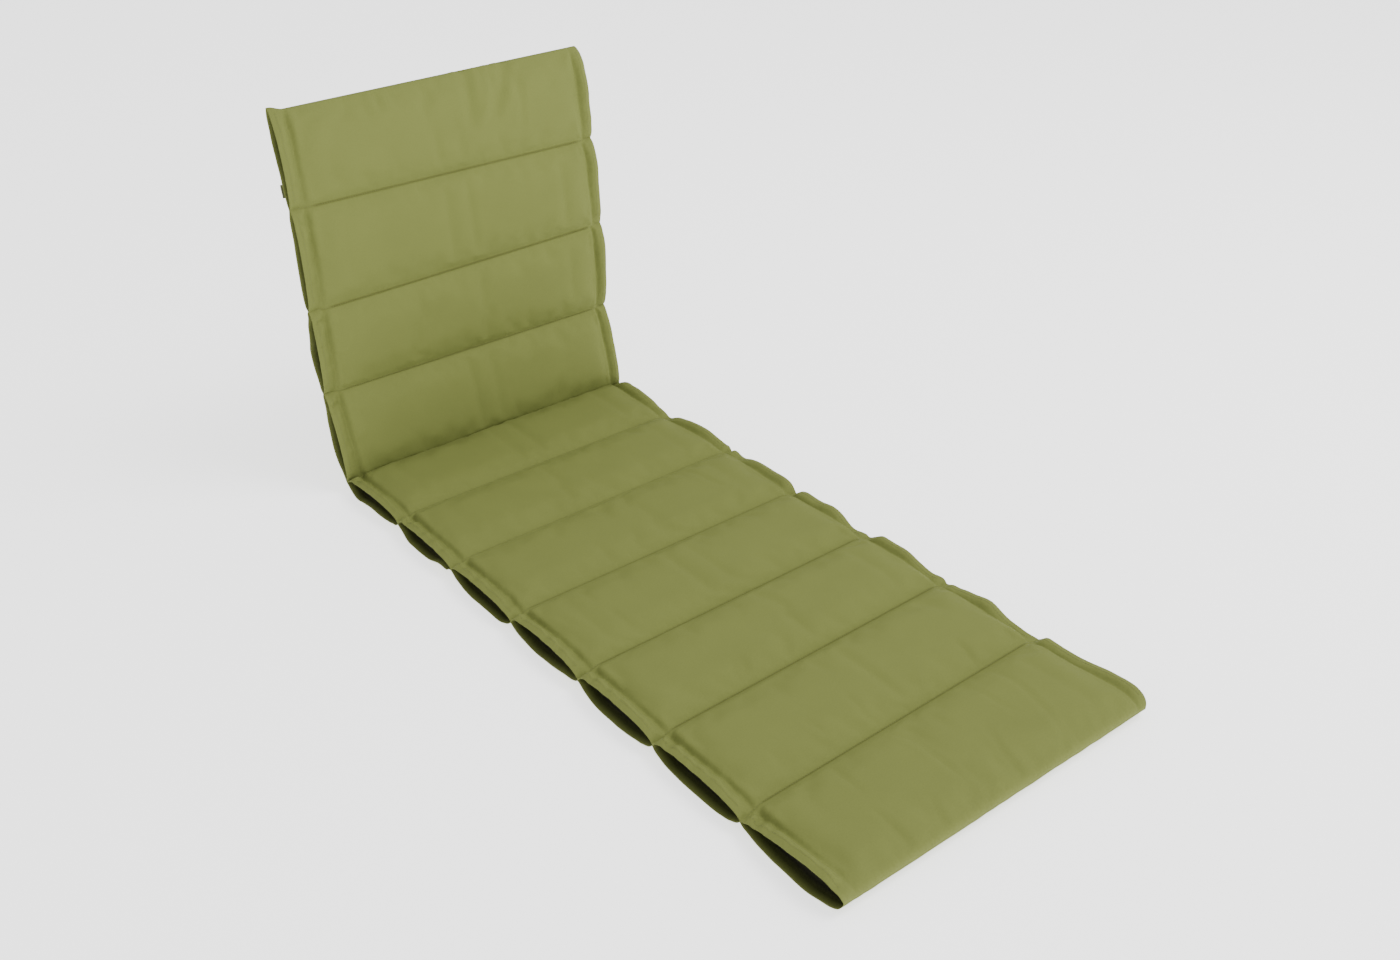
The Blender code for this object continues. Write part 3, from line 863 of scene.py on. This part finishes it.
@dataclass
class Stitching:
    """Rows of lock stitches laid on the finished pad.

    Args:
        shape: The pad's form, which gives each row its route.
        pad: The finished pad, which the stitches are seated on.
    """

    shape: PadShape
    pad: bpy.types.Object
    pitch: float = 0.0042
    length: float = 0.0033
    thread: float = 0.00032
    sunk: float = 0.00012
    hem_inset: float = 0.0090
    clear_of_seam: float = 0.010

    def __post_init__(self) -> None:
        """Read the pad's surface."""
        mesh = self.pad.data
        points = [v.co.copy() for v in mesh.vertices]
        self.surface = BVHTree.FromPolygons(points, [tuple(p.vertices) for p in mesh.polygons])

    def one_stitch(self) -> tuple[np.ndarray, list[tuple[int, ...]]]:
        """Points and faces of one stitch along x, shaped from a small sphere."""
        clear_selection()
        bpy.ops.mesh.primitive_uv_sphere_add(segments=5, ring_count=4, radius=1.0, location=(0, 0, 0))
        ball = bpy.context.object
        points = np.array([v.co[:] for v in ball.data.vertices])
        points[:, :2] = np.sign(points[:, :2]) * np.abs(points[:, :2])
        stitch = np.column_stack((points[:, 2] * self.length / 2, points[:, 0] * self.thread, points[:, 1] * self.thread))
        faces = [tuple(p.vertices) for p in ball.data.polygons]
        bpy.data.objects.remove(ball)
        return stitch, faces

    def seam_row(self, index: int, ply: Ply) -> list[tuple[Vector, Vector, Vector]]:
        """Place, direction and outward side of each stitch of a cross seam."""
        count = int((self.shape.width - 0.008) / self.pitch)
        start = -count * self.pitch / 2
        facing = self.shape.facing_at(index, 0.0) * ply.value
        row = []
        for step in range(count):
            ends = [self.shape.ply_point(index, 0.0, start + (step + part) * self.pitch, ply) for part in (0.1, 0.9)]
            row.append(((ends[0] + ends[1]) / 2, ends[1] - ends[0], facing))
        return row

    def hem_row(self, side: Side, ply: Ply) -> list[tuple[Vector, Vector, Vector]]:
        """The same for one hem's row, which stops at each cross seam."""
        x = side.value * (self.shape.width / 2 - self.hem_inset)
        row = []
        for index, channel in enumerate(CHANNELS):
            count = int((channel.length - 2.0 * self.clear_of_seam) / self.pitch)
            for step in range(count):
                shares = [(self.clear_of_seam + (step + part) * self.pitch) / channel.length for part in (0.1, 0.9)]
                ends = [self.shape.ply_point(index, share, x, ply) for share in shares]
                row.append(((ends[0] + ends[1]) / 2, ends[1] - ends[0], channel.facing() * ply.value))
        return row

    def lay(self, name: str, row: list[tuple[Vector, Vector, Vector]]) -> bpy.types.Object:
        """One object of all the stitches of some rows.

        Args:
            name: Object name.
            row: Place, direction and outward side of each stitch.
        """
        stitch, faces = self.one_stitch()
        points, sides = [], []
        for place, direction, outward in row:
            seat, normal, _, _ = self.surface.find_nearest(place)
            if normal.dot(outward) < 0.0:
                normal = outward
            along = (direction - normal * direction.dot(normal)).normalized()
            turn = np.array((along, normal.cross(along), normal))
            centre = np.array(seat + normal * (self.thread - self.sunk))
            centre[2] = max(centre[2], self.thread)
            sides += [tuple(corner + len(points) for corner in face) for face in faces]
            points += list(stitch @ turn + centre)
        mesh = bpy.data.meshes.new(name)
        mesh.from_pydata(points, [], sides)
        mesh.update()
        laid = bpy.data.objects.new(name, mesh)
        bpy.context.scene.collection.objects.link(laid)
        clear_selection()
        laid.select_set(True)
        bpy.context.view_layer.objects.active = laid
        bpy.ops.object.shade_smooth()
        return laid

    def build(self) -> list[bpy.types.Object]:
        """Sew the cross seams and the hems, each on both plies."""
        sewn = []
        for ply in Ply:
            seams = [stitch for index in range(1, len(CHANNELS)) for stitch in self.seam_row(index, ply)]
            hems = [stitch for side in Side for stitch in self.hem_row(side, ply)]
            sewn.append(self.lay(f"{ply.name.lower()}_seam_stitches", seams))
            sewn.append(self.lay(f"{ply.name.lower()}_hem_stitches", hems))
        return sewn


class Nodes:
    """Short way to add linked nodes to a tree.

    Args:
        tree: Node tree of a material or a group.
    """

    def __init__(self, tree: bpy.types.NodeTree) -> None:
        """Keep the tree."""
        self.tree = tree

    def link(self, source: bpy.types.NodeSocket, target: bpy.types.NodeSocket) -> None:
        """Join two sockets."""
        self.tree.links.new(source, target)

    def math(self, operation: str, *values: bpy.types.NodeSocket | float) -> bpy.types.NodeSocket:
        """Math node fed with sockets or numbers.

        Returns:
            Its output.
        """
        node = self.tree.nodes.new("ShaderNodeMath")
        node.operation = operation
        for socket, value in zip(node.inputs, values):
            if isinstance(value, bpy.types.NodeSocket):
                self.link(value, socket)
            else:
                socket.default_value = value
        return node.outputs[0]

    def noise(self, vector: bpy.types.NodeSocket, scale: float, detail: float) -> bpy.types.NodeSocket:
        """Noise value at a scale.

        Returns:
            Its output, about 0.5 on average.
        """
        node = self.tree.nodes.new("ShaderNodeTexNoise")
        node.inputs["Scale"].default_value = scale
        node.inputs["Detail"].default_value = detail
        self.link(vector, node.inputs["Vector"])
        return node.outputs["Fac"]


def weave_group() -> bpy.types.NodeTree:
    """Plain weave with slubby, mottled yarns, read from the flat cloth's UV map.

    Returns:
        A group that puts out Height, Crumple, Pucker and Tone.
    """
    group = bpy.data.node_groups.new("plain_weave", "ShaderNodeTree")
    face = group.interface
    face.new_socket("Vector", in_out="INPUT", socket_type="NodeSocketVector")
    pitch = face.new_socket("Pitch", in_out="INPUT", socket_type="NodeSocketFloat")
    pitch.default_value = 0.001
    for name in ("Height", "Crumple", "Pucker", "Tone"):
        face.new_socket(name, in_out="OUTPUT", socket_type="NodeSocketFloat")
    nodes = Nodes(group)
    start = group.nodes.new("NodeGroupInput")
    end = group.nodes.new("NodeGroupOutput")
    parts = group.nodes.new("ShaderNodeSeparateXYZ")
    nodes.link(start.outputs["Vector"], parts.inputs[0])
    turn = nodes.math("DIVIDE", math.pi, start.outputs["Pitch"])
    across = nodes.math("SINE", nodes.math("MULTIPLY", parts.outputs[0], turn))
    along = nodes.math("COSINE", nodes.math("MULTIPLY", parts.outputs[1], turn))
    crossing = nodes.math("MULTIPLY", across, along)
    bulge = nodes.math("POWER", nodes.math("ABSOLUTE", crossing), 0.6)
    nodes.link(bulge, end.inputs["Height"])
    nodes.link(nodes.noise(start.outputs["Vector"], 85.0, 3.0), end.inputs["Crumple"])
    stretch = group.nodes.new("ShaderNodeVectorMath")
    stretch.operation = "MULTIPLY"
    stretch.inputs[1].default_value = (130.0, 24.0, 1.0)
    nodes.link(start.outputs["Vector"], stretch.inputs[0])
    nodes.link(nodes.noise(stretch.outputs[0], 1.0, 1.0), end.inputs["Pucker"])
    slub = nodes.math("MULTIPLY", nodes.noise(start.outputs["Vector"], 420.0, 1.0), 0.16)
    cloud = nodes.math("MULTIPLY", nodes.noise(start.outputs["Vector"], 14.0, 2.0), 0.10)
    tone = nodes.math("ADD", nodes.math("ADD", slub, cloud), nodes.math("MULTIPLY", crossing, 0.05))
    nodes.link(nodes.math("ADD", tone, 0.87), end.inputs["Tone"])
    return group


@dataclass(frozen=True)
class WovenCloth:
    """Finish of plain-woven outdoor cloth.

    Args:
        name: Material name.
        weave: The shared weave group.
        colour: Linear colour of the lit cloth.
        deep: Linear colour of the painted shade deep in a sleeve.
        shades: Depth in a sleeve and share of the lit colour that the painted shade leaves there.
        pitch: Distance between yarns.
        sewn: Linear colour of the painted shade in the bottom of a sewn line.
        roughness: Roughness of the yarns.
    """

    name: str
    weave: bpy.types.NodeTree
    colour: tuple[float, float, float]
    deep: tuple[float, float, float]
    pitch: float = 0.0009
    sewn: tuple[float, float, float] = (0.080, 0.088, 0.020)
    shades: tuple[Point, ...] = ((0.03, 1.0), (0.18, 0.72), (0.38, 0.28))
    roughness: float = 0.85

    def make(self) -> bpy.types.Material:
        """Build the material's nodes."""
        material = bpy.data.materials.new(self.name)
        material.use_nodes = True
        tree = material.node_tree
        nodes = Nodes(tree)
        shader = tree.nodes["Principled BSDF"]
        shader.inputs["Roughness"].default_value = self.roughness
        shader.inputs["Specular IOR Level"].default_value = 0.12
        uv = tree.nodes.new("ShaderNodeUVMap")
        uv.uv_map = "flat"
        weave = tree.nodes.new("ShaderNodeGroup")
        weave.node_tree = self.weave
        weave.inputs["Pitch"].default_value = self.pitch
        nodes.link(uv.outputs["UV"], weave.inputs["Vector"])
        # Painted shade: the colour darkens from the lit cloth to the deep colour further inside each sleeve.
        inside = tree.nodes.new("ShaderNodeAttribute")
        inside.attribute_name = "inside"
        ramp = tree.nodes.new("ShaderNodeValToRGB")
        ramp.color_ramp.elements[0].color = (*self.colour, 1.0)
        ramp.color_ramp.elements[1].color = (*self.deep, 1.0)
        ramp.color_ramp.elements[1].position = 0.60
        for place, share in self.shades:
            shade = ramp.color_ramp.elements.new(place)
            shade.color = (*(share * value for value in self.colour), 1.0)
        nodes.link(inside.outputs["Fac"], ramp.inputs["Fac"])
        # Painted shade: the sewn lines darken towards the sewn colour.
        sewn = tree.nodes.new("ShaderNodeAttribute")
        sewn.attribute_name = "sewn"
        line = tree.nodes.new("ShaderNodeMix")
        line.data_type = "RGBA"
        line.inputs["B"].default_value = (*self.sewn, 1.0)
        nodes.link(nodes.math("POWER", sewn.outputs["Fac"], 1.5), line.inputs["Factor"])
        nodes.link(ramp.outputs["Color"], line.inputs["A"])
        tint = tree.nodes.new("ShaderNodeVectorMath")
        tint.operation = "SCALE"
        nodes.link(line.outputs["Result"], tint.inputs[0])
        nodes.link(weave.outputs["Tone"], tint.inputs["Scale"])
        nodes.link(tint.outputs[0], shader.inputs["Base Color"])
        flap = tree.nodes.new("ShaderNodeAttribute")
        flap.attribute_name = "flap"
        beside = tree.nodes.new("ShaderNodeAttribute")
        beside.attribute_name = "beside_seam"
        loose = nodes.math("ADD", nodes.math("MULTIPLY", flap.outputs["Fac"], 1.1), 0.25)
        folds = nodes.math("MULTIPLY", weave.outputs["Crumple"], loose)
        gathers = nodes.math("MULTIPLY", weave.outputs["Pucker"], beside.outputs["Fac"])
        crumple = tree.nodes.new("ShaderNodeBump")
        crumple.inputs["Strength"].default_value = 0.5
        crumple.inputs["Distance"].default_value = 0.0022
        nodes.link(nodes.math("ADD", folds, gathers), crumple.inputs["Height"])
        yarns = tree.nodes.new("ShaderNodeBump")
        yarns.inputs["Strength"].default_value = 0.45
        yarns.inputs["Distance"].default_value = 0.0002
        nodes.link(weave.outputs["Height"], yarns.inputs["Height"])
        nodes.link(crumple.outputs["Normal"], yarns.inputs["Normal"])
        nodes.link(yarns.outputs["Normal"], shader.inputs["Normal"])
        return material


@dataclass(frozen=True)
class SewingThread:
    """Finish of the stitches' thread.

    Args:
        name: Material name.
        colour: Linear colour.
        roughness: Roughness of the twisted thread.
    """

    name: str
    colour: tuple[float, float, float]
    roughness: float = 0.55

    def make(self) -> bpy.types.Material:
        """Build the material's nodes: a fine twist and a little unevenness."""
        material = bpy.data.materials.new(self.name)
        material.use_nodes = True
        tree = material.node_tree
        nodes = Nodes(tree)
        shader = tree.nodes["Principled BSDF"]
        shader.inputs["Roughness"].default_value = self.roughness
        shader.inputs["Specular IOR Level"].default_value = 0.35
        place = tree.nodes.new("ShaderNodeTexCoord")
        tone = nodes.math("ADD", nodes.math("MULTIPLY", nodes.noise(place.outputs["Object"], 300.0, 1.0), 0.3), 0.85)
        tint = tree.nodes.new("ShaderNodeVectorMath")
        tint.operation = "SCALE"
        tint.inputs[0].default_value = self.colour
        nodes.link(tone, tint.inputs["Scale"])
        nodes.link(tint.outputs[0], shader.inputs["Base Color"])
        twist = tree.nodes.new("ShaderNodeBump")
        twist.inputs["Strength"].default_value = 0.4
        twist.inputs["Distance"].default_value = 0.0001
        nodes.link(nodes.noise(place.outputs["Object"], 2400.0, 0.0), twist.inputs["Height"])
        nodes.link(twist.outputs["Normal"], shader.inputs["Normal"])
        return material


@dataclass(frozen=True)
class Studio:
    """Floor, lights and camera.

    Args:
        hinge: Middle of the hinge seam, which the camera's place is measured from.
    """

    hinge: Vector
    azimuth: float = -38.586
    elevation: float = 31.112
    roll: float = -0.554
    focal_pixels: float = 1381.98
    frame_pixels: float = 1400.0
    sensor: float = 36.0
    camera_from_hinge: tuple[float, float, float] = (-1.1443, -2.0799, 1.2954)

    def floor(self) -> None:
        """Pale floor under the pad."""
        clear_selection()
        bpy.ops.mesh.primitive_plane_add(size=40.0, location=(0, 0, 0))
        floor = bpy.context.object
        floor.name = "studio_floor"
        material = bpy.data.materials.new("pale_floor")
        material.use_nodes = True
        shader = material.node_tree.nodes["Principled BSDF"]
        shader.inputs["Base Color"].default_value = (0.92, 0.92, 0.92, 1.0)
        shader.inputs["Emission Color"].default_value = (1.0, 1.0, 1.0, 1.0)
        shader.inputs["Emission Strength"].default_value = 1.5
        shader.inputs["Roughness"].default_value = 0.9
        floor.data.materials.append(material)

    def lamp(self, name: str, place: tuple[float, float, float], size: float, power: float) -> None:
        """Square soft box that looks at the middle of the pad."""
        data = bpy.data.lights.new(name, "AREA")
        data.shape = "SQUARE"
        data.size = size
        data.energy = power
        lamp = bpy.data.objects.new(name, data)
        bpy.context.scene.collection.objects.link(lamp)
        lamp.location = place
        aim = Vector((0.0, 0.0, 0.2)) - lamp.location
        lamp.rotation_euler = aim.to_track_quat("-Z", "Y").to_euler()

    def lights(self) -> None:
        """Soft studio light: an even sky with a broad key from the right."""
        world = bpy.data.worlds.new("studio_sky")
        bpy.context.scene.world = world
        world.use_nodes = True
        background = world.node_tree.nodes["Background"]
        background.inputs["Color"].default_value = (1.0, 1.0, 1.0, 1.0)
        background.inputs["Strength"].default_value = 1.0
        self.lamp("key_box", (1.9, -1.5, 3.9), 2.2, 140.0)
        self.lamp("low_box", (1.2, -4.2, 1.3), 2.0, 10.0)

    def camera(self) -> None:
        """Camera at the photograph's angle."""
        a, e, r = (math.radians(v) for v in (self.azimuth, self.elevation, self.roll))
        back = Vector((math.sin(a) * math.cos(e), -math.cos(a) * math.cos(e), math.sin(e)))
        right = Vector((math.cos(a), math.sin(a), 0.0))
        up = back.cross(right)
        rolled_right = right * math.cos(r) + up * math.sin(r)
        rolled_up = up * math.cos(r) - right * math.sin(r)
        data = bpy.data.cameras.new("photo_camera")
        data.sensor_fit = "HORIZONTAL"
        data.sensor_width = self.sensor
        data.lens = self.focal_pixels / self.frame_pixels * self.sensor
        camera = bpy.data.objects.new("photo_camera", data)
        bpy.context.scene.collection.objects.link(camera)
        turn = Matrix((rolled_right, rolled_up, back)).transposed().to_4x4()
        camera.matrix_world = Matrix.Translation(self.hinge + Vector(self.camera_from_hinge)) @ turn
        bpy.context.scene.camera = camera


@dataclass
class BandEnd:
    """End of a flat woven band, turned under and sewn to the rear ply.

    Args:
        low: Low corner of the CAD band's box.
        high: High corner of the same box.
    """

    low: Vector
    high: Vector
    thickness: float = 0.0011
    gap: float = 0.0002
    drawn_back: float = 0.0028
    lowered: float = 0.0018
    turn_cells: int = 6
    rows: int = 9

    def section(self) -> list[Point]:
        """Outline of the folded band, across and to the rear."""
        half = self.thickness + self.gap / 2
        start, end = self.low.x + self.drawn_back + half, self.high.x
        run = [(end - (end - start) * step / 8, half) for step in range(9)]
        turn = [math.pi * (0.5 + step / self.turn_cells) for step in range(1, self.turn_cells)]
        run += [(start + half * math.cos(a), half * math.sin(a)) for a in turn]
        return run + [(start + (end - start) * step / 8, -half) for step in range(9)]

    def build(self, along: Vector, facing: Vector) -> bpy.types.Object:
        """Make the band as one closed strip.

        Args:
            along: Direction down the back.
            facing: Direction out of the face ply.
        """
        outline = self.section()
        centre = (self.low + self.high) / 2
        height = (self.high.z - self.low.z) - 2.0 * self.thickness
        clear_selection()
        bpy.ops.mesh.primitive_grid_add(x_subdivisions=len(outline) - 1, y_subdivisions=self.rows, size=1.0)
        band = bpy.context.object
        band.name = "folded_band"
        mesh = band.data
        mesh.uv_layers[0].name = "flat"
        for vert in mesh.vertices:
            column = round((vert.co.x + 0.5) * (len(outline) - 1))
            x, out = outline[column]
            ridge = 0.00012 * math.sin(math.pi * 9.0 * vert.co.y)
            spot = along * (vert.co.y * height) - facing * (out + math.copysign(ridge, out))
            vert.co = Vector((x, centre.y, centre.z - self.lowered)) + spot
        work = bmesh.new()
        work.from_mesh(mesh)
        bmesh.ops.holes_fill(work, edges=[e for e in work.edges if e.is_boundary], sides=0)
        bmesh.ops.recalc_face_normals(work, faces=work.faces[:])
        work.to_mesh(mesh)
        work.free()
        return band


def hinge_point() -> Vector:
    """Middle of the hinge seam, worked out from the CAD cushion's box."""
    low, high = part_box("cushion")
    seat = sum(channel.length for channel in CHANNELS[HINGE:])
    low_end = abs(SEAM_SKEW[-1]) / 2
    across = (low[0] + max(LEFT_REACH) + high[0] - max(RIGHT_REACH)) / 2
    return Vector((across, low[1] + low_end + seat, 0.020))


def main() -> None:
    """Build and dress every piece, and log the face counts of the pad and its stitches."""
    logging.basicConfig(level=logging.INFO, format="%(message)s")
    hinge = hinge_point()
    studio = Studio(hinge)
    studio.camera()
    studio.floor()
    studio.lights()
    shape = PadShape(hinge)
    pad = Cushion(shape).build()
    weave = weave_group()
    # The second colour is the painted shade deep inside the sleeves.
    cloth = WovenCloth("olive_outdoor_cloth", weave, (0.1635, 0.185, 0.0495), (0.008, 0.008, 0.003))
    pad.data.materials.clear()
    pad.data.materials.append(cloth.make())
    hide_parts("cushion")
    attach(pad, "root")
    thread = SewingThread("olive_thread", (0.140, 0.155, 0.042)).make()
    for stitches in Stitching(shape, pad).build():
        stitches.data.materials.append(thread)
        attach(stitches, "root")
        log.info("%s has %d faces", stitches.name, len(stitches.data.polygons))
    lean = CHANNELS[0]
    band = BandEnd(*(Vector(corner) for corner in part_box("band_end"))).build(lean.along(), lean.facing())
    band.data.materials.clear()
    tape = WovenCloth("woven_band", weave, (0.120, 0.130, 0.065), (0.120, 0.130, 0.065), pitch=0.0013)
    band.data.materials.append(tape.make())
    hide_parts("band_end")
    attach(band, "root")


if __name__ == "__main__":
    main()
